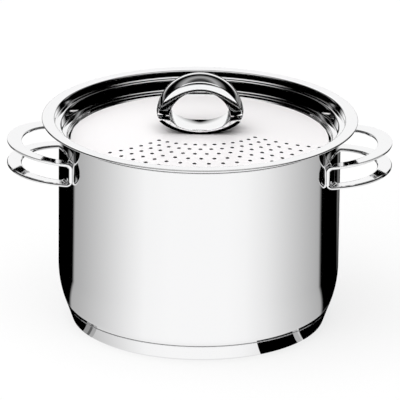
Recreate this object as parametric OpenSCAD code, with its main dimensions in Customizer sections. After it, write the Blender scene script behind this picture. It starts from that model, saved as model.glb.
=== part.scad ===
// Stainless steel pasta pot with two loop handles and a recessed strainer lid.
// The frame stands on the table: Z up, the origin under the middle of the base, the handles on X.
// The lid drains towards the front, which is -Y.

/* [Pot] */
// Inner diameter of the straight wall
pot_inner_d = 240; // [200:1:280]
// Height of the rim's upper face above the table
rim_z = 174.2; // [140:0.1:220]
// Thickness of the pot's sheet
pot_t = 0.7; // [0.5:0.1:1.2]
// Radius of the bend from the wall into the rim, on the inside
rim_bend_r = 2; // [1.2:0.1:3]
// Outer diameter of the flat rim
rim_d = 262; // [256:1:300]
// Height at which the wall starts to draw in towards the base
shoulder_z = 51; // [42:1:70]
// Radius of the bend between the wall and the floor
floor_bend_r = 8; // [5:0.5:10]

/* [Base] */
// Height of the base's visible band
base_h = 14.2; // [11:0.1:18]
// Diameter of the base at the table, before its edge is rounded
base_d = 216.6; // [205:0.2:219]
// How far the band leans out, from the table to the seam
base_flare = 5; // [3:0.1:8]
// Thickness of the sheet of the base cap
cap_t = 0.7; // [0.5:0.1:1]
// Radius of the base's bottom edge
cap_edge_r = 2.5; // [1.5:0.1:4]
// Clear margin between the aluminium disc and the base's edge
core_margin = 9.3; // [9:0.1:20]
// Thickness of the aluminium disc
core_t = 5.5; // [4:0.1:7]

/* [Lid] */
// Thickness of the lid's sheet
lid_t = 0.8; // [0.6:0.1:1]
// Gap between the lid's wall and the pot's wall
lid_gap = 0.3; // [0.2:0.1:0.8]
// Outer diameter of the lid's flange
flange_d = 270.4; // [266:0.2:300]
// Inner diameter of the upper wall, under the flange
upper_wall_d = 249.2; // [248.6:0.1:252]
// Height of the flange above the ledge that sits on the rim
flange_rise = 5.7; // [4:0.1:9]
// Depth of the middle wall, from the upper ledge to the lower one
middle_wall_h = 9.4; // [6:0.1:14]
// Width of the lower ledge
lower_ledge_w = 4.6; // [3:0.1:8]
// Rise of the lower ledge from its inner to its outer edge
lower_ledge_rise = 1; // [0:0.1:2]
// Depth of the lower wall, from the lower ledge to the panel
lower_wall_h = 2.6; // [1.6:0.1:5]
// How much the middle of the panel stands above its edge
dome_h = 7.9; // [0.5:0.1:12]
// Slope of the lid's walls, as the shift from top to bottom
wall_draft = 0.6; // [0:0.1:1]

/* [Drain holes] */
// Diameter of a drain hole
hole_d = 3; // [1.5:0.1:4]
// Rows of holes, from the knob towards the front
hole_rows = 7; // [1:1:7]
// Holes in the first row of the middle fan; each further row has one fewer
first_row_holes = 12; // [8:1:14]
// Distance of the first row from the middle of the lid, at the front
first_row_dist = 38.2; // [32:0.2:50]
// Distance between rows at the front
row_pitch = 10; // [7:0.1:12]
// Radius of the first row's arc
first_row_r = 60.4; // [50:0.2:80]
// How much the radius grows from row to row
row_r_step = 7.05; // [4:0.05:10]
// Angle between neighbours in a row of the fan
fan_step = 7.85; // [6:0.05:9]
// Distance between neighbours in the side wings
wing_pitch = 9.45; // [7:0.05:12]
// Turn of the whole pattern about the vertical
pattern_turn = 7.8; // [-20:0.1:20]
// Sideways shift of the pattern
pattern_shift = 3.4; // [-6:0.1:6]
// Clear margin between the outermost holes and the panel's edge
hole_margin = 8; // [5:0.5:20]

/* [Handles] */
// Distance from the pot's axis to the tip of a handle
handle_reach = 165; // [150:1:185]
// Half the outer width of a handle, along Y
handle_half_w = 55; // [40:1:65]
// Half the length of a handle's loop, along X; part of it lies inside the wall
handle_half_l = 50; // [44:1:60]
// Width of the flat band
band_w = 12.4; // [8:0.1:14]
// Thickness of the band
band_t = 2.5; // [2:0.1:4]
// Height of the upper band's upper face where it meets the pot
upper_band_z = 155.6; // [145:0.1:162]
// Height of the lower band's lower face where it meets the pot
lower_band_z = 135.4; // [110:0.1:136]
// Rise of the upper band from the pot to its tip
upper_band_rise = 5.4; // [0:0.1:10]
// Rise of the lower band from the pot to its tip
lower_band_rise = 3.2; // [0:0.1:6]
// Radius inside the bend between band and foot
band_bend_r = 2.2; // [1:0.1:4]

/* [Knob] */
// Width of the knob, along X
knob_w = 74.2; // [60:0.2:90]
// Depth of the knob, along Y
knob_depth = 29; // [20:0.5:36]
// Height of the arch above the joint of the knob's two halves
arch_rise = 30.4; // [24:0.1:40]
// Thickness of the arch at its crown
arch_t = 6.3; // [4:0.1:9]
// Height of the joint above the lid
joint_rise = 17; // [13:0.1:24]
// Thickness of the cradle in its middle
cradle_t = 2.6; // [2.2:0.1:4]
// Length of the joint faces, from the tip inwards
tip_len = 10.4; // [7:0.1:14]
// Bulge of the arch's outer face over its depth, at the top of the arch
crown_h = 4.8; // [1:0.1:7]
// The same bulge at the tips and on the cradle
tip_crown_h = 0.6; // [0:0.1:2]
// Shape of the bulge: a small value gives a narrow ridge, a large one a round arc
crown_ridge = 0.36; // [0.1:0.02:2]
// How much the front and back faces lean in, from the inner to the outer edge
face_lean = 0.6; // [0:0.1:1.5]
// Radius of the knob's corners, seen from above
tip_round = 3; // [2:0.1:7]
// Width of the slanted edge beside the outer face
outer_edge = 0.6; // [0.4:0.1:3]
// Width of the slanted edge beside the inner face
inner_edge = 0.8; // [0.4:0.1:1]
// Depth of the groove on each side of the joint
groove = 0.5; // [0.3:0.1:0.8]

/* [Knob screw] */
// Diameter of the screw's shank
screw_d = 5; // [4:0.5:6]
// Diameter of the screw's head
screw_head_d = 9; // [8:0.5:12]
// Height of the screw's head
screw_head_h = 2.4; // [1.5:0.1:4]
// Diameter of the washer under the head
washer_d = 14; // [13:0.5:18]
// Thickness of the washer
washer_t = 1; // [0.6:0.1:2]
// Radial play round the screw in the lid and the washer
screw_play = 0.3; // [0.1:0.05:0.5]
// Radial play of the thread in the cradle
thread_play = 0.05; // [0.02:0.01:0.1]

/* [Hidden] */

// Segments of a full turn, and of one rounded corner
turn_steps = 144;
corner_steps = 5;
shoulder_steps = 10;

// Pot and base
inner_r = pot_inner_d / 2;
outer_r = inner_r + pot_t;
rim_under_z = rim_z - pot_t;
floor_under_z = cap_t + core_t;
// The seam is the line where the cap ends
cap_foot = [base_d / 2, 0];
seam = cap_foot + [base_flare, base_h];
cap_dir = unit(seam - cap_foot);
cap_lean = atan2(cap_dir[0], cap_dir[1]);
// Joggle: above the cap's edge the pot's wall steps out, to go on flush with the cap
joggle_h = 1.1;
joggle_r = 0.3;
seam_play = 0.1;
wall_foot = seam + joggle_h * cap_dir;
tucked = seam + cap_t * [-cos(cap_lean), sin(cap_lean)] + seam_play * cap_dir;
tucked_run = (tucked[1] - floor_under_z) / cos(cap_lean);
floor_corner = tucked - tucked_run * cap_dir;
// The shoulder is one arc, tangent to the wall; its two tangents are equally long
shoulder_drop = shoulder_z - wall_foot[1];
foot_in = outer_r - wall_foot[0];
shoulder_tangent = (pow(shoulder_drop, 2) + pow(foot_in, 2)) / (2 * shoulder_drop);
shoulder_mid_z = shoulder_z - shoulder_tangent;
shoulder_lean = atan2(foot_in, shoulder_mid_z - wall_foot[1]);
foot_land = 0.6;
shoulder_r = (shoulder_tangent - foot_land) / abs(tan(shoulder_lean / 2));

// Lid, heights and radii of its upper face from the rim inwards
upper_ledge_z = rim_z + lid_t;
flange_z = upper_ledge_z + flange_rise;
middle_wall_r = inner_r - lid_gap - lid_t;
lower_ledge_z = upper_ledge_z - middle_wall_h;
lower_ledge_out = middle_wall_r - wall_draft;
lower_ledge_in = lower_ledge_out - lower_ledge_w;
lower_wall_top = lower_ledge_z - lower_ledge_rise;
panel_r = lower_ledge_in - wall_draft / 2;
panel_z = lower_wall_top - lower_wall_h;
// The knob stands on a small flat in the middle of the domed panel
seat_r = 9;
seat_z = panel_z + dome_h;
dome_steps = 12;
tight_bend = 0.3;
upper_wall_bend = 1;
ledge_bend = 1.8;
flange_bend = 1.5;
last_hole_r = panel_r - hole_margin;
wing_first_dir = 32;
wing_dir_step = 6;
wing_dir_row = 1.2;

// Handles
loop_center_x = handle_reach - handle_half_l;
loop_steps = 96;
channel_out = handle_reach + 5;
channel_r = outer_r;

// Knob
joint_z = seat_z + joint_rise;
joint_half = knob_w / 2 - tip_crown_h;
crown_arc_r = arc_radius(joint_half, arch_rise);
eye_half = joint_half - tip_len;
eye_rise = arch_rise - arch_t;
eye_arc_r = arc_radius(eye_half, eye_rise);
seat_cut = 0.4;
knob_steps = 40;
depth_steps = 6;
screw_r = screw_d / 2;
thread_len = cradle_t - 0.2;
drive_w = 3;
drive_depth = 1.4;

// Vector helpers
function unit(v) = v / norm(v);
function left_of(v) = [-v[1], v[0]];
function reversed(p) = [for (i = [len(p) - 1:-1:0]) p[i]];
function arc_radius(half, rise) = (half * half + rise * rise) / (2 * rise);

// Rounds the corner b between a and c with radius r, or keeps it sharp at radius 0
function corner(a, b, c, r, steps) =
    let (
        into = unit(b - a),
        out = unit(c - b),
        cr = into[0] * out[1] - into[1] * out[0],
        bend = asin(max(-1, min(1, cr)))
    )
    (r <= 0 || abs(bend) < 0.01) ? [b] :
    let (
        side = sign(bend),
        back = r * tan(abs(bend) / 2),
        start = b - into * back,
        center = start + left_of(into) * r * side,
        from = start - center
    )
    [for (i = [0:steps])
        let (t = bend * i / steps)
        center + [from[0] * cos(t) - from[1] * sin(t), from[0] * sin(t) + from[1] * cos(t)]];

// A path of [point, bend radius, steps] as plain points
function bent(path) = [
    for (i = [0:len(path) - 1])
        each (i == 0 || i == len(path) - 1)
            ? [path[i][0]]
            : corner(path[i - 1][0], path[i][0], path[i + 1][0], path[i][1], path[i][2])
];

// The same path moved to its left by t; each bend radius follows
function moved(path, t) = [
    for (i = [0:len(path) - 1])
        let (
            p = path[i][0],
            first = i == 0,
            last = i == len(path) - 1,
            into = first ? unit(path[1][0] - p) : unit(p - path[i - 1][0]),
            out = last ? into : unit(path[i + 1][0] - p),
            n1 = left_of(into),
            n2 = left_of(out),
            side = sign(into[0] * out[1] - into[1] * out[0])
        )
        [p + (n1 + n2) * t / (1 + n1 * n2), max(0, path[i][1] - side * t), path[i][2]]
];

// Section of a sheet of thickness t, on the left of its path
module sheet(path, t) {
    polygon(concat(bent(path), reversed(bent(moved(path, t)))));
}

module turned() {
    rotate_extrude($fn = turn_steps) children();
}

// Deep-drawn pot: floor, shoulder, straight wall and flat rim
module pot_body() {
    outside = [
        [[0, floor_under_z], 0, 1],
        [floor_corner, floor_bend_r, corner_steps + 3],
        [tucked, joggle_r, 2],
        [wall_foot, joggle_r, 2],
        [[outer_r, shoulder_mid_z], shoulder_r, shoulder_steps],
        [[outer_r, rim_under_z], rim_bend_r - pot_t, corner_steps],
        [[rim_d / 2, rim_under_z], 0, 1],
    ];
    color("gainsboro") turned() sheet(outside, pot_t);
}

// Aluminium disc that spreads the heat, sealed between floor and cap
module base_core() {
    color("silver")
        translate([0, 0, cap_t]) cylinder(h = core_t, d = base_d - 2 * core_margin, $fn = turn_steps);
}

// Pressed cap round the disc; its edge ends at the seam
module base_cap() {
    outside = [
        [[0, 0], 0, 1],
        [cap_foot, cap_edge_r, corner_steps],
        [seam, 0, 1],
    ];
    color("gainsboro") turned() sheet(outside, cap_t);
}

// Heights of the handle bands at radius r
function upper_face(r) = upper_band_z + upper_band_rise * (r - channel_r) / (handle_reach - channel_r);
function lower_face(r) = lower_band_z + lower_band_rise * (r - channel_r) / (handle_reach - channel_r);

// Section of the handle: upper band, foot against the pot and lower band, as one bent strip
module handle_channel() {
    path = [
        [[channel_out, upper_face(channel_out)], 0, 1],
        [[channel_r, upper_band_z], band_bend_r + band_t, corner_steps + 1],
        [[channel_r, lower_band_z], band_bend_r + band_t, corner_steps + 1],
        [[channel_out, lower_face(channel_out)], 0, 1],
    ];
    sheet(path, band_t);
}

// Plan of a handle's loop, cut back by inset
module loop_outline(inset) {
    rx = handle_reach - loop_center_x - inset;
    ry = handle_half_w - inset;
    polygon([for (i = [0:loop_steps - 1])
        let (a = 360 * i / loop_steps)
        [loop_center_x + rx * cos(a), ry * sin(a)]]);
}

// One handle: the channel, turned about the pot's axis and trimmed to the loop's plan
module handle() {
    intersection() {
        turned() handle_channel();
        translate([0, 0, lower_band_z - 1])
            linear_extrude(upper_band_z + upper_band_rise - lower_band_z + 4)
                difference() {
                    loop_outline(0);
                    loop_outline(band_w);
                }
        translate([channel_r * 0.7, -handle_half_w - 1, lower_band_z - 1])
            cube([handle_reach, 2 * handle_half_w + 2, upper_band_z + upper_band_rise - lower_band_z + 4]);
    }
}

module right_handle() {
    color("whitesmoke") handle();
}

module left_handle() {
    color("whitesmoke") mirror([1, 0, 0]) handle();
}

// Height of the panel's upper face at radius r
function panel_face(r) = r <= seat_r ? seat_z
    : panel_z + dome_h * (1 - pow((r - seat_r) / (panel_r - seat_r), 2));

// Row k of the middle fan: an arc that bulges to the front, in the pattern's own frame
function fan_row(k) =
    let (
        r = first_row_r + row_r_step * k,
        n = first_row_holes - k,
        back = r - first_row_dist - row_pitch * k
    )
    [for (i = [0:n - 1])
        let (a = (i - (n - 1) / 2) * fan_step)
        [r * sin(a), back - r * cos(a)]];

// Wing of row k: it leaves the end of the fan's row and sweeps out to the lid's edge
function wing_row(k) = wing_points(fan_row(k)[first_row_holes - k - 1], k, 0);
function wing_points(p, k, j) =
    let (
        a = wing_first_dir + wing_dir_row * k - wing_dir_step * j,
        q = p + wing_pitch * [cos(a), -sin(a)]
    )
    (norm(q) > last_hole_r || a < 0) ? [] : concat([q], wing_points(q, k, j + 1));

// All drain holes, in the lid's frame
function drain_holes() = [
    for (k = [0:hole_rows - 1])
        for (p = concat(
                fan_row(k),
                wing_row(k),
                [for (q = wing_row(k)) [-q[0], q[1]]]))
            let (
                x = p[0] + pattern_shift,
                q = [x * cos(pattern_turn) - p[1] * sin(pattern_turn),
                     x * sin(pattern_turn) + p[1] * cos(pattern_turn)]
            )
            if (norm(q) <= last_hole_r) q
];

// Recessed lid: flange, stepped walls and domed panel from one sheet, with its drain holes
module lid() {
    dome = [
        for (i = [0:dome_steps])
            let (r = seat_r + (panel_r - ledge_bend - seat_r) * i / dome_steps)
            [[r, panel_face(r)], 0, 1]
    ];
    walls = [
        [[panel_r, panel_face(panel_r)], upper_wall_bend, corner_steps],
        [[lower_ledge_in, lower_wall_top], tight_bend + lid_t, corner_steps],
        [[lower_ledge_out, lower_ledge_z], upper_wall_bend, corner_steps],
        [[middle_wall_r, upper_ledge_z], ledge_bend, corner_steps],
        [[upper_wall_d / 2, upper_ledge_z], upper_wall_bend, corner_steps],
        [[upper_wall_d / 2 + wall_draft / 2, flange_z], flange_bend, corner_steps],
        [[flange_d / 2, flange_z], 0, 1],
    ];
    top = concat([[[screw_r + screw_play, seat_z], 0, 1]], dome, walls);
    color("snow") difference() {
        turned() sheet(reversed(top), lid_t);
        for (h = drain_holes())
            translate([h[0], h[1], panel_face(norm(h)) - 3 * lid_t])
                cylinder(h = 6 * lid_t, d = hole_d, $fn = 24);
    }
}

// Half depth of the knob at distance x from its middle, rounded off towards the tips
function knob_half_depth(x) =
    let (over = max(0, min(tip_round, abs(x) - joint_half + tip_round)))
    knob_depth / 2 - tip_round + sqrt(tip_round * tip_round - over * over);

// Share of the bulge that is left at t, from -1 at the back to 1 at the front
function crown_share(t) =
    let (k = crown_ridge)
    1 - (sqrt(k * k + t * t) - k) / (sqrt(k * k + 1) - k);

// One closed section of the knob between inner point i and outer point o, both as [x, z]
function knob_section(i, o, bulge) =
    let (
        dir = unit(o - i),
        hi = knob_half_depth(i[0]),
        ho = knob_half_depth(o[0]) - face_lean,
        point = function (p, s, y) [p[0] + dir[0] * s, y, p[1] + dir[1] * s]
    )
    concat(
        [point(i, 0, -hi + inner_edge), point(i, inner_edge, -hi), point(o, -outer_edge, -ho)],
        [for (j = [0:depth_steps])
            let (t = 2 * j / depth_steps - 1)
            point(o, bulge * crown_share(t), t * (ho - outer_edge))],
        [point(o, -outer_edge, ho), point(i, inner_edge, hi), point(i, 0, hi - inner_edge)]
    );

// Closed solid through a row of sections with equal numbers of points
module loft(sections) {
    n = len(sections[0]);
    m = len(sections);
    points = [for (s = sections) each s];
    sides = [
        for (k = [0:m - 2])
            for (j = [0:n - 1])
                let (a = k * n + j, b = k * n + (j + 1) % n)
                each [[a, b, b + n], [a, b + n, a + n]]
    ];
    polyhedron(points, concat([[for (j = [n - 1:-1:0]) j]], sides, [[for (j = [0:n - 1]) (m - 1) * n + j]]));
}

// Points of an arc through (half, 0) and (0, rise), for t from -1 at one end to 1 at the other
function bow(half, rise, r, t) =
    let (a = t * (rise < half ? asin(half / r) : 180 - asin(half / r)))
    [r * sin(a), rise - r + r * cos(a)];

// Upper half of the knob, the arch that the fingers hold
module knob_arch() {
    sections = [
        for (k = [0:knob_steps])
            let (
                t = 1 - 2 * k / knob_steps,
                inner = bow(eye_half, eye_rise, eye_arc_r, t),
                outer = bow(joint_half, arch_rise, crown_arc_r, t),
                bulge = tip_crown_h + (crown_h - tip_crown_h) * outer[1] / arch_rise
            )
            knob_section([0, joint_z] + inner, [0, joint_z] + outer, bulge)
    ];
    color("gainsboro") difference() {
        loft(sections);
        joint_groove(0);
    }
}

// Lower half of the knob, the cradle that stands on the lid
module knob_cradle() {
    sections = [
        for (k = [0:knob_steps])
            let (
                a = 180 * k / knob_steps,
                drop = min(joint_rise, (joint_rise + seat_cut) * sin(a)),
                inner_drop = (joint_rise - cradle_t) * sin(a)
            )
            knob_section(
                [-eye_half * cos(a), joint_z - inner_drop],
                [-joint_half * cos(a), joint_z - drop],
                tip_crown_h)
    ];
    color("gainsboro") difference() {
        intersection() {
            loft(sections);
            translate([-knob_w, -knob_depth, seat_z])
                cube([2 * knob_w, 2 * knob_depth, 2 * joint_rise]);
        }
        joint_groove(1);
        translate([0, 0, seat_z - 1])
            cylinder(h = 1 + thread_len, r = screw_r + thread_play, $fn = 32);
    }
}

// Groove cut round the outside of the joint, in the arch (side 0) or the cradle (side 1)
module joint_groove(side) {
    for (end = [0, 1])
        mirror([end, 0, 0])
            translate([0, 0, joint_z - side * groove])
                linear_extrude(groove)
                    difference() {
                        translate([eye_half - 1, -knob_depth])
                            square([tip_len + 4, 2 * knob_depth]);
                        joint_plan(groove);
                    }
}

// Plan of the knob, cut back by inset
module joint_plan(inset) {
    steps = 24;
    right = [
        for (i = [0:steps])
            let (x = (joint_half - tip_round) + tip_round * sin(90 * i / steps))
            [x, -knob_half_depth(x)]
    ];
    outline = concat(right, [for (p = reversed(right)) [p[0], -p[1]]]);
    polygon([for (p = outline) [p[0] - inset, p[1] - sign(p[1]) * inset]]);
    translate([0, -knob_depth / 2 + inset])
        square([joint_half - tip_round - inset, knob_depth - 2 * inset]);
}

// Pan-head screw, driven from under the lid into the cradle
module knob_screw() {
    head_top = seat_z - lid_t - washer_t;
    color("silver") difference() {
        union() {
            translate([0, 0, head_top]) cylinder(h = seat_z + thread_len - head_top, r = screw_r, $fn = 32);
            translate([0, 0, head_top - screw_head_h])
                rotate_extrude($fn = 48)
                    polygon([
                        [0, 0], [screw_head_d / 2 - 1, 0], [screw_head_d / 2 - 0.3, 0.3],
                        [screw_head_d / 2, 1], [screw_head_d / 2, screw_head_h], [0, screw_head_h],
                    ]);
        }
        translate([0, 0, head_top - screw_head_h - 1])
            cylinder(h = 1 + drive_depth, d = drive_w, $fn = 6);
    }
}

// Flat washer between the screw's head and the lid
module knob_washer() {
    color("silver")
        translate([0, 0, seat_z - lid_t - washer_t])
            difference() {
                cylinder(h = washer_t, d = washer_d, $fn = 64);
                translate([0, 0, -1]) cylinder(h = washer_t + 2, r = screw_r + screw_play, $fn = 32);
            }
}

pot_body();
base_core();
base_cap();
left_handle();
right_handle();
lid();
knob_cradle();
knob_arch();
knob_screw();
knob_washer();
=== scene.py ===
"""Looks of the stainless steel pasta pot: polished sheet, strip and pressed pieces on its frame.

All lengths below are millimetres, as in the part's source, and become metres in the meshes.
The camera's and the lamp's own lengths are metres.
"""
import math

import bpy
import numpy as np
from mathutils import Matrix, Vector
from mathutils.geometry import delaunay_2d_cdt


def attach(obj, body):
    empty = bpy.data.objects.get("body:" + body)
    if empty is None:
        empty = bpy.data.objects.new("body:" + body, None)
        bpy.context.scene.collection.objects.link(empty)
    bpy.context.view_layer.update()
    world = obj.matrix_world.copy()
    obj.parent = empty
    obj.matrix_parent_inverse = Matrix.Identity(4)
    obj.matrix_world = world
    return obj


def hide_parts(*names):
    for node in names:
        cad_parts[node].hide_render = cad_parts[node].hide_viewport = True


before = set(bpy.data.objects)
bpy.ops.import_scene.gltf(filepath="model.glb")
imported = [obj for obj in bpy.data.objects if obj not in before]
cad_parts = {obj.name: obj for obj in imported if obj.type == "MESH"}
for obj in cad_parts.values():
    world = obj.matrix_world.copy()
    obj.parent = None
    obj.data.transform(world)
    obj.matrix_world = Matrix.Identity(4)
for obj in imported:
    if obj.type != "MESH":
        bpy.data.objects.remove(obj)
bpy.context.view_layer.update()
scene = bpy.context.scene
scene.view_settings.view_transform = "Standard"

# Sizes of the pot and its base: radii, heights and sheet thicknesses
POT_R = 120.7
POT_T = 0.7
RIM_Z = 174.2
RIM_END_R = 124.6
SHOULDER_Z = 51.0
FLOOR_Z = 6.2
FLOOR_BEND_R = 8.0
BASE_R = 108.3
BASE_H = 14.2
BASE_FLARE = 5.0
CAP_T = 0.7
CAP_EDGE_R = 2.5
SEAM_STEP = 1.1
SHEET_EDGE_R = 0.3

# Sizes of the lid
LID_T = 0.8
LID_EDGE_R = 0.35
SEAT_R = 9.0
PANEL_R = 113.4
PANEL_Z = 162.0
DOME_H = 7.9
LEDGE_Z = 175.0
UPPER_WALL_R = 124.6
FLANGE_R = 135.2
FLANGE_Z = 180.7
FLANGE_EDGE_Z = 179.4
SCREW_HOLE_R = 2.8

# Drain holes. A wing's first step is tilted by WING_TILT degrees in the first row, and by
# WING_TILT_STEP more in each further row. Each further step is tilted by WING_BEND less.
HOLE_R = 1.65
HOLE_EDGE_R = 0.08
HOLE_SIDES = 20
HOLE_ROWS = 7
FIRST_ROW_HOLES = 12
FIRST_ROW_R = 60.4
FIRST_ROW_DIST = 38.2
ROW_PITCH = 10.0
ROW_R_STEP = 7.05
FAN_STEP = 7.85
WING_PITCH = 9.45
WING_TILT = 32
WING_TILT_STEP = 1.2
WING_BEND = 6
HOLE_MARGIN = 8
PATTERN_TURN = 7.8
PATTERN_SHIFT = 3.4

# Steps round the pot's axis, and height of the joint between the knob's halves
TURN_STEPS = 288
JOINT_Z = 186.9


# Meshes with exact normals

class Skin:
    """Collects faces with one exact normal per corner, and joins the points that meet."""

    def __init__(self):
        self.index = {}
        self.points = []
        self.faces = []
        self.normals = []
        self.slots = []

    def point(self, p):
        key = (round(p[0] * 1e4), round(p[1] * 1e4), round(p[2] * 1e4))
        if key not in self.index:
            self.index[key] = len(self.points)
            self.points.append((p[0] / 1000, p[1] / 1000, p[2] / 1000))
        return self.index[key]

    def face(self, ids, normals, slot):
        kept = [k for k in range(len(ids)) if ids[k] != ids[k - 1]]
        if len(kept) < 3:
            return
        self.faces.append([ids[k] for k in kept])
        self.normals.extend(tuple(normals[k]) for k in kept)
        self.slots.append(slot)

    def grid(self, p, n, slot=0):
        """Quads over a grid of points p and normals n, both rows x columns x 3."""
        across = np.cross(p[1:, 1:] - p[:-1, :-1], p[1:, :-1] - p[:-1, 1:])
        flip = np.sum(across * (n[1:, 1:] + n[:-1, :-1])) < 0
        ids = [[self.point(q) for q in row] for row in p.tolist()]
        n = n.tolist()
        for i in range(len(ids) - 1):
            for j in range(len(ids[0]) - 1):
                ring = [(i, j), (i, j + 1), (i + 1, j + 1), (i + 1, j)]
                if flip:
                    ring.reverse()
                self.face([ids[a][b] for a, b in ring], [n[a][b] for a, b in ring], slot)

    def lathe(self, strip, slot=0):
        """Turns a strip of rows [r, z, normal r, normal z] about the pot's axis."""
        s = np.array(strip, float)
        a = np.linspace(0, 2 * math.pi, TURN_STEPS + 1)
        a[-1] = 0.0
        c, d = np.cos(a)[:, None], np.sin(a)[:, None]
        one = np.ones_like(c)
        p = np.stack([c * s[:, 0], d * s[:, 0], one * s[:, 1]], axis=2)
        n = np.stack([c * s[:, 2], d * s[:, 2], one * s[:, 3]], axis=2)
        self.grid(p, n, slot)

    def build(self, name, materials):
        mesh = bpy.data.meshes.new(name)
        mesh.from_pydata(self.points, [], self.faces)
        for m in materials:
            mesh.materials.append(m)
        mesh.polygons.foreach_set("material_index", self.slots)
        mesh.shade_smooth()
        n = np.array(self.normals, float)
        n /= np.linalg.norm(n, axis=1, keepdims=True)
        mesh.normals_split_custom_set(n.tolist())
        mesh.update()
        piece = bpy.data.objects.new(name, mesh)
        scene.collection.objects.link(piece)
        return piece


def unit(v):
    return v / np.linalg.norm(v)


def trace(path):
    """Strips of [r, z, normal r, normal z] along a path of (point, bend radius, steps).

    The normals point to the right of the path, and a corner of radius 0 starts a new strip.
    """
    pts = [np.array(p[0], float) for p in path]
    strips, strip = [], []
    for i, (_, radius, steps) in enumerate(path):
        p = pts[i]
        into = unit(p - pts[i - 1]) if i else unit(pts[1] - p)
        out = unit(pts[i + 1] - p) if i < len(path) - 1 else into
        ni, no = np.array([into[1], -into[0]]), np.array([out[1], -out[0]])
        turn = math.asin(max(-1.0, min(1.0, into[0] * out[1] - into[1] * out[0])))
        if i in (0, len(path) - 1):
            strip.append([*p, *ni])
        elif radius > 0 and abs(turn) > 1e-3:
            side = 1 if turn > 0 else -1
            start = p - into * radius * math.tan(abs(turn) / 2)
            center = start - ni * radius * side
            for k in range(steps + 1):
                t = turn * k / steps
                n = np.array([ni[0] * math.cos(t) - ni[1] * math.sin(t),
                              ni[0] * math.sin(t) + ni[1] * math.cos(t)])
                strip.append([*(center + n * radius * side), *n])
        else:
            strip.append([*p, *ni])
            if abs(turn) > 1e-3:
                strips.append(strip)
                strip = []
            strip.append([*p, *no])
    strips.append(strip)
    return strips


def moved(path, t):
    """The same path moved to its left by t; each bend radius follows."""
    pts = [np.array(p[0], float) for p in path]
    out = []
    for i, (_, radius, steps) in enumerate(path):
        a = unit(pts[i] - pts[i - 1]) if i else unit(pts[1] - pts[0])
        b = unit(pts[i + 1] - pts[i]) if i < len(path) - 1 else a
        n1, n2 = np.array([-a[1], a[0]]), np.array([-b[1], b[0]])
        side = np.sign(a[0] * b[1] - a[1] * b[0])
        q = pts[i] + (n1 + n2) * t / (1 + n1 @ n2)
        out.append((q, max(0.0, radius - side * t) if radius else 0.0, steps))
    return out


def rounded(points, radius, steps=4):
    """Closed outline of points (a, b, sharp): rows of (point, tangent), the sharp ones rounded."""
    rows = []
    n = len(points)
    for i in range(n):
        a, b, c = (np.array(points[k % n][:2], float) for k in (i - 1, i, i + 1))
        into, out = unit(b - a), unit(c - b)
        if not points[i][2]:
            rows.append((b, unit(into + out)))
            continue
        turn = math.atan2(into[0] * out[1] - into[1] * out[0], into @ out)
        if abs(turn) < 1e-4:
            rows += [(b, into)] * (steps + 1)
            continue
        back = min(radius * math.tan(abs(turn) / 2), 0.45 * np.linalg.norm(b - a),
                   0.45 * np.linalg.norm(c - b))
        r = back / math.tan(abs(turn) / 2)
        side = 1 if turn > 0 else -1
        left = np.array([-into[1], into[0]])
        center = b - into * back + left * r * side
        for k in range(steps + 1):
            t = turn * k / steps
            d = np.array([into[0] * math.cos(t) - into[1] * math.sin(t),
                          into[0] * math.sin(t) + into[1] * math.cos(t)])
            rows.append((center - np.array([-d[1], d[0]]) * r * side, d))
    return rows


def dress(piece, node):
    """Puts a mirror steel piece in the place of a node."""
    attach(piece, "root")
    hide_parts(node)


# Materials

def material(name, color, rough, spread, marks, metal=1.0):
    """Surface whose gloss varies softly and which carries fine polishing marks."""
    m = bpy.data.materials.new(name)
    m.use_nodes = True
    nodes, link = m.node_tree.nodes, m.node_tree.links.new
    steel = nodes["Principled BSDF"]
    steel.inputs["Base Color"].default_value = (*color, 1)
    steel.inputs["Metallic"].default_value = metal
    place = nodes.new("ShaderNodeTexCoord")
    cloud = nodes.new("ShaderNodeTexNoise")
    cloud.inputs["Scale"].default_value = 30
    cloud.inputs["Detail"].default_value = 4
    gloss = nodes.new("ShaderNodeMapRange")
    gloss.inputs["From Min"].default_value = 0.3
    gloss.inputs["From Max"].default_value = 0.7
    gloss.inputs["To Min"].default_value = rough - spread
    gloss.inputs["To Max"].default_value = rough + spread
    link(place.outputs["Object"], cloud.inputs["Vector"])
    link(cloud.outputs["Fac"], gloss.inputs["Value"])
    link(gloss.outputs["Result"], steel.inputs["Roughness"])
    scratch = nodes.new("ShaderNodeTexNoise")
    scratch.inputs["Scale"].default_value = 1.0
    scratch.inputs["Detail"].default_value = 3
    bump = nodes.new("ShaderNodeBump")
    bump.inputs["Strength"].default_value = marks
    bump.inputs["Distance"].default_value = 0.0001
    link(turned_place(nodes, link, place), scratch.inputs["Vector"])
    link(scratch.outputs["Fac"], bump.inputs["Height"])
    link(bump.outputs["Normal"], steel.inputs["Normal"])
    return m


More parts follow.
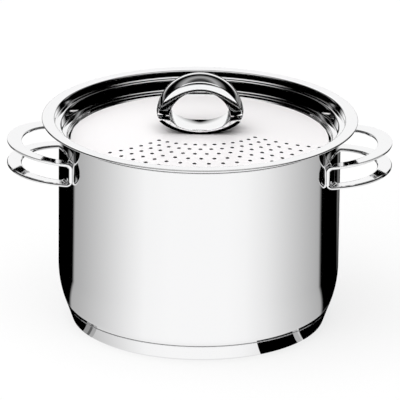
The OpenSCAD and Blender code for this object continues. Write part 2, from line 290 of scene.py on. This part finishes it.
def turned_place(nodes, link, place):
    """Coordinates in which a noise runs round the pot's axis, as turning and buffing marks do."""
    split = nodes.new("ShaderNodeSeparateXYZ")
    link(place.outputs["Object"], split.inputs["Vector"])
    flat = nodes.new("ShaderNodeCombineXYZ")
    link(split.outputs["X"], flat.inputs["X"])
    link(split.outputs["Y"], flat.inputs["Y"])
    radius = nodes.new("ShaderNodeVectorMath")
    radius.operation = "LENGTH"
    link(flat.outputs["Vector"], radius.inputs["Vector"])
    turn = nodes.new("ShaderNodeMath")
    turn.operation = "ARCTAN2"
    link(split.outputs["Y"], turn.inputs[0])
    link(split.outputs["X"], turn.inputs[1])
    joined = nodes.new("ShaderNodeCombineXYZ")
    link(radius.outputs["Value"], joined.inputs["X"])
    link(turn.outputs["Value"], joined.inputs["Y"])
    link(split.outputs["Z"], joined.inputs["Z"])
    scaled = nodes.new("ShaderNodeVectorMath")
    scaled.operation = "MULTIPLY"
    scaled.inputs[1].default_value = (2500, 2, 2500)
    link(joined.outputs["Vector"], scaled.inputs[0])
    return scaled.outputs["Vector"]


polished = material("polished_steel", (0.93, 0.93, 0.935), 0.05, 0.015, 0.01)
satin = material("turned_steel", (0.72, 0.72, 0.73), 0.32, 0.06, 0.35)
# The photo shows the lid's panel as even white, so it is mostly a matt white and not a metal
blasted = material("blasted_panel", (0.96, 0.94, 0.945), 0.5, 0.03, 0.05, metal=0.15)
# Dark steel on the drain holes' rims and walls: painted shade inside the holes
hole_shade_steel = material("hole_wall_painted_shade", (0.2, 0.2, 0.205), 0.4, 0.05, 0.1)
core = material("rolled_aluminium", (0.78, 0.78, 0.79), 0.4, 0.06, 0.1)

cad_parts["knob_screw"].data.materials[0] = satin
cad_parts["knob_washer"].data.materials[0] = satin
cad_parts["base_core"].data.materials[0] = core


# Pot

def pot_paths():
    """Outer lines of the pot's sheet and of the base cap, from the axis outwards.

    The pot's wall is tucked into the cap at the seam, and its shoulder is one round bend that
    touches the band's slope below and the upright wall above.
    """
    cap_foot = np.array([BASE_R, 0.0])
    seam = cap_foot + [BASE_FLARE, BASE_H]
    lean = unit(seam - cap_foot)
    wall_foot = seam + SEAM_STEP * lean
    tucked = seam + CAP_T * np.array([-lean[1], lean[0]]) + 0.1 * lean
    floor_corner = tucked - (tucked[1] - FLOOR_Z) / lean[1] * lean
    drop = SHOULDER_Z - wall_foot[1]
    inset = POT_R - wall_foot[0]
    tangent = (drop ** 2 + inset ** 2) / (2 * drop)
    mid_z = SHOULDER_Z - tangent
    tilt = math.atan2(inset, mid_z - wall_foot[1])
    pot = [
        ((0, FLOOR_Z), 0, 1),
        (floor_corner, FLOOR_BEND_R, 10),
        (tucked, 0.3, 3),
        (wall_foot, 0.5, 4),
        ((POT_R, mid_z), (tangent - 0.6) / math.tan(tilt / 2), 24),
        ((POT_R, RIM_Z - POT_T), 1.3, 8),
        ((RIM_END_R, RIM_Z - POT_T), 0, 1),
    ]
    cap = [((0, 0), 0, 1), (cap_foot, CAP_EDGE_R, 8), (seam, 0, 1)]
    return pot, cap


def sheet_strips(path, t, edge):
    """Closed section of a sheet on the left of its path, with a rounded edge at its end."""
    back = moved(path, t)
    loop = path[:-1] + [(path[-1][0], edge, 4), (back[-1][0], edge, 4)] + back[-2::-1]
    return trace(loop)


pot_path, cap_path = pot_paths()
skin = Skin()
for strip in sheet_strips(pot_path, POT_T, SHEET_EDGE_R):
    skin.lathe(strip)
dress(skin.build("pot_shell", [polished]), "pot_body")

skin = Skin()
for strip in sheet_strips(cap_path, CAP_T, SHEET_EDGE_R):
    flat = all(row[1] < 0.001 for row in strip)
    skin.lathe(strip, slot=1 if flat else 0)
dress(skin.build("base_cap_shell", [polished, satin]), "base_cap")


# Lid

def dome(r):
    """Height and slope of the panel's upper face at radius r."""
    q = np.maximum(r - SEAT_R, 0) / (PANEL_R - SEAT_R)
    h = PANEL_Z + DOME_H * (1 - q * q)
    return h, -2 * DOME_H * q / (PANEL_R - SEAT_R)


def drain_holes():
    """Middles of the drain holes: seven arcs that bulge to the front, each with two side wings."""
    holes = []
    for k in range(HOLE_ROWS):
        r = FIRST_ROW_R + ROW_R_STEP * k
        n = FIRST_ROW_HOLES - k
        back = r - FIRST_ROW_DIST - ROW_PITCH * k
        row = [(r * math.sin(a), back - r * math.cos(a))
               for a in (math.radians((i - (n - 1) / 2) * FAN_STEP) for i in range(n))]
        x, y = row[-1]
        j = 0
        while True:
            # A wing starts steeply and flattens from hole to hole
            a = math.radians(WING_TILT + WING_TILT_STEP * k - WING_BEND * j)
            x, y = x + WING_PITCH * math.cos(a), y - WING_PITCH * math.sin(a)
            if math.hypot(x, y) > PANEL_R - HOLE_MARGIN or a < 0:
                break
            row += [(x, y), (-x, y)]
            j += 1
        holes += row
    c, d = math.cos(math.radians(PATTERN_TURN)), math.sin(math.radians(PATTERN_TURN))
    placed = [((x + PATTERN_SHIFT) * c - y * d, (x + PATTERN_SHIFT) * d + y * c) for x, y in holes]
    return [h for h in placed if math.hypot(*h) <= PANEL_R - HOLE_MARGIN]


def ring(cx, cy, r, n):
    """Corners of a regular outline about (cx, cy)."""
    return [(cx + r * math.cos(2 * math.pi * i / n), cy + r * math.sin(2 * math.pi * i / n))
            for i in range(n)]


def panel_sheet(skin, holes, hole_r, outer_r, drop, up):
    """The panel's upper face, or its lower one at drop under it, with all holes left open."""
    coords, edges = [], []
    for cx, cy, r, n in ([(0, 0, outer_r, TURN_STEPS), (0, 0, SCREW_HOLE_R, 24)]
                         + [(x, y, hole_r, HOLE_SIDES) for x, y in holes]):
        first = len(coords)
        coords += ring(cx, cy, r, n)
        edges += [(first + i, first + (i + 1) % n) for i in range(n)]
    centers = np.array(holes)
    # Points between the holes, so that the dome stays smooth
    for r in np.arange(SEAT_R, outer_r - 2, 5.5):
        for x, y in ring(0, 0, r, max(12, int(2 * math.pi * r / 6))):
            if np.min(np.hypot(centers[:, 0] - x, centers[:, 1] - y)) > 3:
                coords.append((x, y))
    flat, _, faces, *_ = delaunay_2d_cdt([Vector(c) for c in coords], edges, [], 0, 1e-4)
    xy = np.array([(v.x, v.y) for v in flat])
    height, slope = dome(np.hypot(xy[:, 0], xy[:, 1]))
    scale = np.hypot(xy[:, 0], xy[:, 1])
    scale[scale == 0] = 1
    normal = np.stack([-slope * xy[:, 0] / scale, -slope * xy[:, 1] / scale,
                       np.ones(len(xy))], axis=1)
    depth = drop * normal / np.linalg.norm(normal, axis=1, keepdims=True)
    p = np.column_stack([xy, height]) - depth
    ids = [skin.point(q) for q in p.tolist()]
    limit = hole_r * math.cos(math.pi / HOLE_SIDES)
    for f in faces:
        mid = xy[f].mean(axis=0)
        if not SCREW_HOLE_R < math.hypot(*mid) < outer_r:
            continue
        if np.min(np.hypot(centers[:, 0] - mid[0], centers[:, 1] - mid[1])) < limit:
            continue
        turn = list(f) if up else list(f)[::-1]
        skin.face([ids[i] for i in turn], [normal[i] if up else -normal[i] for i in turn], 1)


def hole_walls(skin, holes):
    """The rounded rim and the wall of every drain hole."""
    a = np.linspace(0, 2 * math.pi, HOLE_SIDES + 1)
    a[-1] = 0
    for x, y in holes:
        rows, normals = [], []
        for k in range(5):
            b = math.pi / 2 * k / 4
            r = HOLE_R + HOLE_EDGE_R * (1 - math.sin(b))
            px, py = x + r * np.cos(a), y + r * np.sin(a)
            h = dome(np.hypot(px, py))[0] - HOLE_EDGE_R * (1 - math.cos(b))
            rows.append(np.stack([px, py, h], axis=1))
            normals.append(np.stack([-math.sin(b) * np.cos(a), -math.sin(b) * np.sin(a),
                                     np.full(len(a), math.cos(b))], axis=1))
        px, py = x + HOLE_R * np.cos(a), y + HOLE_R * np.sin(a)
        rows.append(np.stack([px, py, dome(np.hypot(px, py))[0] - LID_T], axis=1))
        normals.append(normals[-1])
        # Slot 2, the dark hole steel, paints shade on each hole's rim and wall
        skin.grid(np.array(rows), np.array(normals), 2)


def lid_skin():
    """The pressed sheet: walls and ledges turned about the axis, and the panel with its holes."""
    skin = Skin()
    start = PANEL_R - 3
    walls = [
        ((start, float(dome(start)[0])), 0, 1),
        ((PANEL_R, PANEL_Z), 1.0, 6),
        ((113.6, 164.6), 1.1, 6),
        ((118.2, 165.6), 1.0, 6),
        ((118.8, LEDGE_Z), 1.8, 8),
        ((124.0, LEDGE_Z), 1.0, 6),
        ((UPPER_WALL_R, FLANGE_Z), 1.5, 8),
        ((FLANGE_R, FLANGE_Z), 0.9, 6),
        ((FLANGE_R, FLANGE_EDGE_Z), 0, 1),
    ]
    top = [(np.array(p, float), r, n) for p, r, n in walls][::-1]
    back = moved(top, LID_T)
    loop = top[::-1][:-1] + [(top[0][0], LID_EDGE_R, 4), (back[0][0], LID_EDGE_R, 4)] + back[1:]
    for strip in trace(loop):
        skin.lathe([[r, z, -nr, -nz] for r, z, nr, nz in strip])
    holes = drain_holes()
    panel_sheet(skin, holes, HOLE_R + HOLE_EDGE_R, start, 0.0, True)
    panel_sheet(skin, holes, HOLE_R, start, LID_T, False)
    hole_walls(skin, holes)
    return skin


dress(lid_skin().build("strainer_lid", [polished, blasted, hole_shade_steel]), "lid")


# Handles

# Plan of the loops, section of the strip, and steps along a band and round a bend
REACH, HALF_L, HALF_W = 165.0, 50.0, 55.0
BAND_W, BAND_T, BEND_R, STRIP_EDGE_R = 12.4, 2.5, 2.2, 0.3
BAND_STEPS, BEND_STEPS = 73, 9
# Width and height of the inner edges' chamfer, and of the outer face's soft cushion
CHAMFER = (0.6, 1.1)
CUSHION = (1.1, 0.22)
# Height of each band's outer face at the wall, and its rise from there to the tip
UPPER = (155.6, 5.4)
LOWER = (135.4, 3.2)


def band_face(r, band):
    """Height of a band's outer face at distance r from the pot's axis."""
    return band[0] + band[1] * (r - POT_R) / (REACH - POT_R)


def loop_point(t, v):
    """Plan of the loop at ellipse angle t, moved in from its outer edge by v."""
    return (REACH - HALF_L + (HALF_L - v) * np.cos(t), (HALF_W - v) * np.sin(t))


def loop_angle(r, v):
    """Ellipse angle at which the loop's line at inset v is r away from the pot's axis."""
    c, a, b = REACH - HALF_L, HALF_L - v, HALF_W - v
    qa, qb, qc = a * a - b * b, 2 * c * a, c * c + b * b - r * r
    return np.arccos((-qb + np.sqrt(qb * qb - 4 * qa * qc)) / (2 * qa))


def handle_rows():
    """Stations round the strip: (upper band?, zone, place in the zone)."""
    along, bend = np.linspace(-1, 1, BAND_STEPS), np.linspace(0, 1, BEND_STEPS)
    rows = [(1, "band", f) for f in along]
    rows += [(1, "bend_back", f) for f in bend[1:]] + [(0, "bend_back", f) for f in bend[::-1]]
    rows += [(0, "band", f) for f in along[::-1][1:]]
    rows += [(0, "bend_front", f) for f in bend[1:]] + [(1, "bend_front", f) for f in bend[::-1]]
    return rows


def station(row, v, h):
    """Points of one station for arrays of insets v and depths h under the outer face."""
    upper, zone, f = row
    band = UPPER if upper else LOWER
    sign = 1 if upper else -1
    slope = math.atan2(band[1], REACH - POT_R)
    lean = sign * slope
    radius = BEND_R + BAND_T
    # The bend's middle: radius away from the foot's inner face and from the band's outer face
    cr = POT_R + radius
    cz = band_face(cr, band) - sign * radius / math.cos(slope)
    if zone == "band":
        end_r = cr - (radius - h) * math.sin(lean)
        t = f * loop_angle(end_r, v)
        x, y = loop_point(t, v)
        r = np.hypot(x, y)
        z = band_face(r, band) - sign * h / math.cos(slope)
    else:
        a = lean + f * (math.pi / 2 - lean)
        r = cr - (radius - h) * math.sin(a)
        z = cz + sign * (radius - h) * math.cos(a)
        side = 1 if zone == "bend_back" else -1
        x, y = loop_point(side * loop_angle(r, v), v)
    return np.stack([x, y, z + 0 * x], axis=1)


def band_section():
    """Section of the strip, rows of (v, h) and their tangents: both faces have soft edges."""
    v, h = CHAMFER
    s, d = CUSHION
    half = [(0, BAND_T - h, True), (0, d, True), (s, 0, True)]
    half += [(q, 0.0, False) for q in np.linspace(s + 0.8, BAND_W / 2, 4)[:-1]]
    other = [(BAND_W / 2, BAND_T, False)]
    other += [(q, BAND_T, False) for q in np.linspace(BAND_W / 2, v + s + 0.8, 4)[1:]]
    other += [(v + s, BAND_T, True), (v, BAND_T - d, True)]
    points = half + [(BAND_W / 2, 0.0, False)]
    points += [(BAND_W - a, b, sharp) for a, b, sharp in half[::-1]]
    points += [(BAND_W - a, b, sharp) for a, b, sharp in other[::-1]] + other[1:]
    rows = [(*p, *t) for p, t in rounded(points, STRIP_EDGE_R)]
    return np.array(rows + rows[:1])


def handle_skin(side):
    """The strip, swept with exact normals from the slopes along it and across its section."""
    s = band_section()
    v, h = s[:, 0], s[:, 1]
    rows = handle_rows()
    p = np.array([station(row, v, h) for row in rows])
    d = 1e-3
    dv = np.array([station(row, v + d, h) - station(row, v - d, h) for row in rows])
    dh = np.array([station(row, v, h + d) - station(row, v, h - d) for row in rows])
    du = []
    for upper, zone, f in rows:
        forward = 1 if bool(upper) == (zone != "bend_front") else -1
        ahead = station((upper, zone, f + d), v, h) - station((upper, zone, f - d), v, h)
        du.append(ahead * forward)
    n = np.cross(np.array(du), dv * s[:, 2][None, :, None] + dh * s[:, 3][None, :, None])
    n /= np.linalg.norm(n, axis=2, keepdims=True)
    p = np.concatenate([p, p[:1]])
    n = np.concatenate([n, n[:1]])
    mid = BAND_STEPS // 2
    if np.sum(n[mid] * (p[mid] - p[mid].mean(axis=0))) < 0:
        n = -n
    p[:, :, 0] *= side
    n[:, :, 0] *= side
    skin = Skin()
    skin.grid(p, n)
    return skin


for side, node in ((1, "right_handle"), (-1, "left_handle")):
    dress(handle_skin(side).build(node + "_strip", [polished]), node)


# Knob

# Half widths at the joint, rises of the arch and drops of the cradle, outside and in the eye
JOINT_HALF, EYE_HALF = 36.5, 26.1
ARCH_RISE, EYE_RISE = 30.4, 24.1
CRADLE_DROP, EYE_DROP, CRADLE_FOOT = 17.4, 14.4, 17.0
KNOB_HALF_DEPTH, TIP_ROUND = 14.5, 1.5
# Crown on the outer face: height in the middle and at the tips, and sharpness of its ridge
CROWN_H, TIP_CROWN_H, CROWN_RIDGE = 3.4, 0.6, 0.36
# How far the front and back faces bend in at their outer edges: at the tips, on top of the
# arch, and what the cradle adds at its foot and at its lower sides. Then the powers of the bend
FACE_LEAN, ARCH_LEAN = 0.6, 0.75
CRADLE_LEAN, CRADLE_SIDE_LEAN = 0.4, 2.0
ARCH_POWER, CRADLE_POWER = 2.2, 4
# Hollow of the faces round the eye, and how far their edges stand up
ARCH_HOLLOW, ARCH_LIFT = 1.7, 2.2
FLOOR_HOLLOW, FLOOR_LIFT = 1.5, 1.35
# Half the gap between the halves and how far its neck stands back, edges' chamfers and rounding
JOINT_GAP, JOINT_STEP = 0.5, 0.3
INNER_EDGE, OUTER_EDGE, KNOB_EDGE_R = 0.25, 0.6, 0.4
KNOB_STEPS = 120


def knob_half_depth(x):
    """Half the knob's depth at x: full up to the tips, which are rounded in plan."""
    over = np.clip(np.abs(x) - JOINT_HALF + TIP_ROUND, 0, TIP_ROUND)
    return KNOB_HALF_DEPTH - TIP_ROUND + np.sqrt(TIP_ROUND ** 2 - over ** 2)


def bow(half, rise, u):
    """Point of the arc over +-half, for u from -1 to 1; its ends lie JOINT_GAP above its chord."""
    r = (half * half + rise * rise) / (2 * rise)
    end = math.acos(1 - (rise - JOINT_GAP) / r)
    return np.array([r * math.sin(u * end), rise - r + r * math.cos(u * end)])


def arch_ends(u):
    """Arch at u from -1 to 1: inner and outer point, bulge, hollow, lift, lean and its power."""
    base = np.array([0, JOINT_Z])
    outer = bow(JOINT_HALF, ARCH_RISE, u)
    up = outer[1] / ARCH_RISE
    bulge = TIP_CROWN_H + (CROWN_H - TIP_CROWN_H) * up
    lean = FACE_LEAN + (ARCH_LEAN - FACE_LEAN) * up
    inner = bow(EYE_HALF, EYE_RISE, u)
    return base + inner, base + outer, bulge, ARCH_HOLLOW * up, ARCH_LIFT * up, lean, ARCH_POWER


def cradle_ends(u):
    """Cradle at u from -1 to 1: the same values as for the arch."""
    a_in, a_out = math.asin(JOINT_GAP / EYE_DROP), math.asin(JOINT_GAP / CRADLE_DROP)
    ai = math.pi / 2 * (1 - u) * (1 - a_in * 2 / math.pi) + a_in
    ao = math.pi / 2 * (1 - u) * (1 - a_out * 2 / math.pi) + a_out
    down = math.sin(ao)
    inner = np.array([EYE_HALF * math.cos(ai), JOINT_Z - EYE_DROP * math.sin(ai)])
    outer = np.array([JOINT_HALF * math.cos(ao), JOINT_Z - min(CRADLE_FOOT, CRADLE_DROP * down)])
    lean = FACE_LEAN + CRADLE_LEAN * down + CRADLE_SIDE_LEAN * math.sin(2 * ao) ** 2
    return inner, outer, TIP_CROWN_H, FLOOR_HOLLOW * down, FLOOR_LIFT * down, lean, CRADLE_POWER


def crown_share(t):
    """Crown's height at t from -1 to 1 over its face, as a share of its full height."""
    k = CROWN_RIDGE
    return 1 - (math.sqrt(k * k + t * t) - k) / (math.sqrt(k * k + 1) - k)


def knob_section(i, o, bulge, hollow, lift, lean, power, inset=0.0):
    """Outline of one section in (distance from the inner point, depth), with its tangents.

    The inner face is hollow over its depth, and its edges stand up by lift. The front and back
    faces are upright at their inner edges and bend in by lean at their outer ones.
    """
    length = float(np.linalg.norm(o - i)) - inset
    hi = float(knob_half_depth(i[0])) - inset
    ho = float(knob_half_depth(o[0])) - inset - lean
    low = inset - lift
    run = length - OUTER_EDGE - low - INNER_EDGE
    face = [(low + INNER_EDGE + run * q, hi - (hi - ho) * q ** power, q in (0, 1))
            for q in np.linspace(0, 1, 13)]
    pts = [(low, -hi + INNER_EDGE, True)] + [(q, -w, sharp) for q, w, sharp in face]
    pts += [(length + bulge * crown_share(t), t * (ho - OUTER_EDGE), abs(t) == 1)
            for t in np.linspace(-1, 1, 49)]
    pts += face[::-1] + [(low, hi - INNER_EDGE, True)]
    pts += [(low + hollow * (1 - t * t), t * (hi - INNER_EDGE), False)
            for t in np.linspace(1, -1, 19)[1:-1]]
    return rounded(pts, KNOB_EDGE_R)


def knob_station(ends, u, inset=0.0):
    """Points and tangents of the section at u."""
    i, o, *shape = ends(u)
    d = unit(o - i)
    rows = knob_section(i, o, *shape, inset)
    p = np.array([[i[0] + d[0] * q[0], q[1], i[1] + d[1] * q[0]] for q, _ in rows])
    t = np.array([[d[0] * w[0], w[1], d[1] * w[0]] for _, w in rows])
    return p, t


def knob_skin(ends, down):
    """One half of the knob; its joint faces look down or up."""
    skin = Skin()
    p, n = [], []
    for u in np.linspace(-1, 1, KNOB_STEPS + 1):
        q, t = knob_station(ends, u)
        lo, hi = max(-1, u - 1e-3), min(1, u + 1e-3)
        du = knob_station(ends, hi)[0] - knob_station(ends, lo)[0]
        m = np.cross(du, t)
        m /= np.linalg.norm(m, axis=1, keepdims=True)
        if np.sum(m * (q - q.mean(axis=0))) < 0:
            m = -m
        p.append(np.vstack([q, q[:1]]))
        n.append(np.vstack([m, m[:1]]))
    skin.grid(np.array(p), np.array(n))
    # Groove at the joint: a step in, a short neck and the flat joint face
    for u, k in ((-1, 0), (1, -1)):
        full = p[k]
        q = knob_station(ends, u, JOINT_STEP)[0]
        neck = np.vstack([q, q[:1]])
        neck[:, 2] = full[:, 2].mean()
        end = neck.copy()
        end[:, 2] = JOINT_Z
        flat = np.zeros_like(full)
        flat[:, 2] = -1 if down else 1
        skin.grid(np.array([full, neck]), np.array([flat, flat]))
        out = neck - neck.mean(axis=0)
        out[:, 2] = 0
        skin.grid(np.array([neck, end]), np.array([out, out]))
        middle = np.repeat(end.mean(axis=0)[None, :], len(end), axis=0)
        skin.grid(np.array([end, middle]), np.array([flat, flat]))
    return skin


dress(knob_skin(arch_ends, True).build("knob_arch_half", [polished]), "knob_arch")
dress(knob_skin(cradle_ends, False).build("knob_cradle_half", [polished]), "knob_cradle")


# Floor, lamp, world and camera

# Direction in which the photo's camera looks, and its distance and target in metres
RISE = math.radians(20.05)
VIEW = (0, math.cos(RISE), -math.sin(RISE))
DISTANCE, TARGET, LENS, ROLL = 5.0, (0.0008, 0, 0.1055), 523.4, 0.63
FLOOR_HALF = 40
# Share of plain diffuse white in the floor; the rest glows, and the shadow falls on the white
FLOOR_MATTE, FLOOR_WHITE = 0.25, 0.9

# Cards that paint dark and grey reflections: height over the panel, and (start, end, grey) of
# those under the base, in degrees
CARD_GAP = 0.1
BASE_PAINTED_REFLECTIONS = [(-110, -66, 0.0), (-66, -62, 0.3), (-62, -60, 0.12), (-60, -57, 0.4),
              (30, 52.5, 0.0), (52.5, 56, 0.45), (57.3, 110, 0.0)]

# Greys of the surroundings, tuned on the photo by its grey values along rows and columns.
# The table's run across the pot's front, from its left edge at -1 to its right one at 1. The
# sky's run from the camera's side at -1 to the back at 1, with a white screen there and two dim
# strips over it.
TABLE_GREYS = [
    (-1, 0.0), (-0.89, 0.0), (-0.877, 0.43), (-0.83, 0.47), (-0.66, 0.66), (-0.49, 0.86),
    (-0.377, 0.97), (-0.2, 1.0), (0.2, 1.0), (0.328, 0.97), (0.477, 0.86), (0.648, 0.66),
    (0.819, 0.47), (0.85, 0.43), (0.865, 0.0), (0.98, 0.0), (0.987, 0.3), (1, 0.3)]
SKY_GREYS = [
    (-1, 0.0), (0.53, 0.0), (0.545, 0.1), (0.56, 0.0), (0.605, 0.4), (0.69, 0.0), (0.8, 0.0),
    (0.9, 0.98), (1, 0.98)]


def floor():
    """White floor that glows evenly and takes the object's shadow on a diffuse share."""
    mesh = bpy.data.meshes.new("floor")
    h = FLOOR_HALF
    mesh.from_pydata([(-h, -h, 0), (h, -h, 0), (h, h, 0), (-h, h, 0)], [], [(0, 1, 2, 3)])
    plane = bpy.data.objects.new("floor", mesh)
    scene.collection.objects.link(plane)
    m = bpy.data.materials.new("white_floor")
    m.use_nodes = True
    nodes, link = m.node_tree.nodes, m.node_tree.links.new
    nodes.clear()
    out = nodes.new("ShaderNodeOutputMaterial")
    mix = nodes.new("ShaderNodeMixShader")
    mix.inputs["Fac"].default_value = FLOOR_MATTE
    glow = nodes.new("ShaderNodeEmission")
    glow.inputs["Strength"].default_value = 1.0
    matte = nodes.new("ShaderNodeBsdfDiffuse")
    matte.inputs["Color"].default_value = (FLOOR_WHITE, FLOOR_WHITE, FLOOR_WHITE, 1)
    link(glow.outputs[0], mix.inputs[1])
    link(matte.outputs[0], mix.inputs[2])
    link(mix.outputs[0], out.inputs["Surface"])
    mesh.materials.append(m)
    # The metal shows the world's table in place of this floor
    plane.visible_glossy = False


def sector(radii, angles, heights):
    """Grid of points round the pot's axis; the angles are degrees from the camera's side to +X."""
    r = np.linspace(*radii, 9)[None, :]
    a = np.radians(np.linspace(*angles, 61))[:, None]
    z = heights(r) if callable(heights) else np.linspace(*heights, 9)[None, :]
    return np.stack([r * np.sin(a), -r * np.cos(a), z + 0 * a], axis=2)


def bow_tie(half_x, half_y, widen):
    """Grid of points just above the panel, over a strip along X that widens to its ends."""
    x, y = np.meshgrid(np.linspace(-half_x, half_x, 41), np.linspace(-1, 1, 21))
    y *= half_y + widen * np.abs(x)
    return np.stack([x, y, over_panel(np.hypot(x, y))], axis=2)


def card(name, p, grey=0.0):
    """Even grey card over a grid of points that only reflections see, and only from above; it
    glows at its grey and paints that reflection in the steel.
    """
    skin = Skin()
    n = np.zeros_like(p)
    n[:, :, 2] = 1
    skin.grid(p, n)
    m = bpy.data.materials.new(name)
    m.use_nodes = True
    nodes, link = m.node_tree.nodes, m.node_tree.links.new
    nodes.clear()
    glow = nodes.new("ShaderNodeEmission")
    glow.inputs["Color"].default_value = (grey, grey, grey, 1)
    clear = nodes.new("ShaderNodeBsdfTransparent")
    face = nodes.new("ShaderNodeNewGeometry")
    mix = nodes.new("ShaderNodeMixShader")
    out = nodes.new("ShaderNodeOutputMaterial")
    link(face.outputs["Backfacing"], mix.inputs["Fac"])
    link(glow.outputs[0], mix.inputs[1])
    link(clear.outputs[0], mix.inputs[2])
    link(mix.outputs[0], out.inputs["Surface"])
    piece = skin.build(name, [m])
    piece.visible_camera = False
    piece.visible_diffuse = False
    piece.visible_shadow = False
    piece.visible_transmission = False


def over_panel(r):
    return dome(r)[0] + CARD_GAP


def cards():
    """Cards that paint dark and grey reflections in the knob, in the lid's walls and in the band
    of the base.

    The panel is bright, and a plain mirror over it would lose the dark parts of the photo. One
    card is behind the knob, one is in front of it, one is on the lid's front walls and one lies
    under the knob. The others lie on the floor round the base.
    """
    card("panel_painted_reflection", sector((20, 112.5), (125, 235), over_panel))
    card("panel_painted_reflection", sector((62, 112.5), (-58, 58), over_panel))
    card("front_painted_reflection", sector((112.5, 125), (-60, 60), (165.4, 181.2)))
    card("knob_painted_reflection", bow_tie(42, 18.8, 0.4))
    # Black and grey cards on the floor round the foot paint dark and grey reflections in the
    # base's band
    for start, end, grey in BASE_PAINTED_REFLECTIONS:
        card("base_painted_reflection", sector((108, 121), (start, end), (CARD_GAP, CARD_GAP)), grey)


def lamp():
    """Broad soft light from above the camera's left; the steel shows the world instead of it."""
    data = bpy.data.lights.new("soft_light", "SUN")
    data.energy = 3.0
    data.angle = math.radians(100)
    sun = bpy.data.objects.new("soft_light", data)
    scene.collection.objects.link(sun)
    sun.rotation_euler = Vector((0.35, 0.35, -1)).to_track_quat("-Z", "Y").to_euler()
    sun.visible_glossy = False


def studio():
    """Light by direction: a white table round the front, a white screen behind, dark between.

    Camera rays see plain white. Reflections and diffuse light see the table and the sky.
    """
    world = bpy.data.worlds.new("studio")
    scene.world = world
    world.use_nodes = True
    nodes, link = world.node_tree.nodes, world.node_tree.links.new
    nodes.clear()

    def math_node(op, a, b=None):
        n = nodes.new("ShaderNodeMath")
        n.operation = op
        for k, value in enumerate((a, b)):
            if value is None:
                continue
            if isinstance(value, (int, float)):
                n.inputs[k].default_value = value
            else:
                link(value, n.inputs[k])
        return n.outputs[0]

    def between(value, start, end):
        """0 at start and 1 at end, with a smooth step."""
        n = nodes.new("ShaderNodeMapRange")
        n.interpolation_type = "SMOOTHSTEP"
        n.inputs["From Min"].default_value = start
        n.inputs["From Max"].default_value = end
        link(value, n.inputs["Value"])
        return n.outputs[0]

    def greys(value, stops):
        """Grey ramp over values from -1 to 1."""
        n = nodes.new("ShaderNodeValToRGB")
        n.color_ramp.interpolation = "LINEAR"
        e = n.color_ramp.elements
        while len(e) < len(stops):
            e.new(0.5)
        for k, (at, grey) in enumerate(stops):
            e[k].position = (at + 1) / 2
            e[k].color = (grey, grey, grey, 1)
        link(math_node("ADD", math_node("MULTIPLY", value, 0.5), 0.5), n.inputs[0])
        return n.outputs["Color"]

    def blend(fac, a, b):
        """Mix of a and b, each a grey or a socket."""
        n = nodes.new("ShaderNodeMix")
        n.data_type = "RGBA"
        link(fac, n.inputs["Factor"])
        for value, socket in ((a, n.inputs[6]), (b, n.inputs[7])):
            if isinstance(value, float):
                socket.default_value = (value, value, value, 1)
            else:
                link(value, socket)
        return n.outputs[2]

    place = nodes.new("ShaderNodeTexCoord")
    split = nodes.new("ShaderNodeSeparateXYZ")
    link(place.outputs["Generated"], split.inputs[0])
    _, y, z = split.outputs

    # Table: a direction is looked up by the lean and the side of the steel that would show it in
    # the photo's view, so that the grey bands run straight down the wall and its shoulder. VIEW is
    # constant, so the table stays in its place when the camera moves.
    sight = nodes.new("ShaderNodeVectorMath")
    sight.operation = "SUBTRACT"
    sight.inputs[1].default_value = VIEW
    link(place.outputs["Generated"], sight.inputs[0])
    facing = nodes.new("ShaderNodeVectorMath")
    facing.operation = "NORMALIZE"
    link(sight.outputs["Vector"], facing.inputs[0])
    half = nodes.new("ShaderNodeSeparateXYZ")
    link(facing.outputs["Vector"], half.inputs[0])
    half_x, _, half_z = half.outputs
    level = math_node("SQRT", math_node("SUBTRACT", 1.0, math_node("MULTIPLY", half_z, half_z)))
    side = math_node("DIVIDE", half_x, math_node("MAXIMUM", level, 0.001))
    # The bands draw in a little where the steel leans down, steel that faces far down shows one
    # light grey, and what lies nearly straight back below the horizon is dark
    lean = math_node("MAXIMUM", math_node("MULTIPLY", half_z, -1), 0.0)
    drawn = math_node("SUBTRACT", 1.0, math_node("MULTIPLY", lean, 0.185))
    across = greys(math_node("MULTIPLY", side, drawn), TABLE_GREYS)
    table = blend(between(lean, 0.32, 0.5), across, 0.8)
    under = blend(between(y, 0.85, 0.95), table, 0.0)

    # Sky: the screen and its strips by how far a direction points to the back, and a white
    # ceiling over the front
    sky = greys(y, SKY_GREYS)
    overhead = math_node("MULTIPLY", between(z, 0.74, 0.84), between(y, 0.26, 0.12))
    light = blend(between(z, -0.03, 0.03), under, blend(overhead, sky, 1.0))
    rays = nodes.new("ShaderNodeLightPath")
    seen = blend(rays.outputs["Is Camera Ray"], light, 1.0)
    back = nodes.new("ShaderNodeBackground")
    back.inputs["Strength"].default_value = 1.0
    out = nodes.new("ShaderNodeOutputWorld")
    link(seen, back.inputs["Color"])
    link(back.outputs[0], out.inputs["Surface"])


def camera():
    data = bpy.data.cameras.new("camera")
    data.sensor_width = 36
    data.lens = LENS
    data.clip_start = 0.1
    data.clip_end = 200
    cam = bpy.data.objects.new("camera", data)
    scene.collection.objects.link(cam)
    target = Vector(TARGET)
    cam.location = target - DISTANCE * Vector(VIEW)
    look = (target - cam.location).to_track_quat("-Z", "Y")
    cam.rotation_euler = look.to_euler()
    cam.rotation_euler.rotate_axis("Z", math.radians(ROLL))
    scene.camera = cam


floor()
cards()
lamp()
studio()
camera()
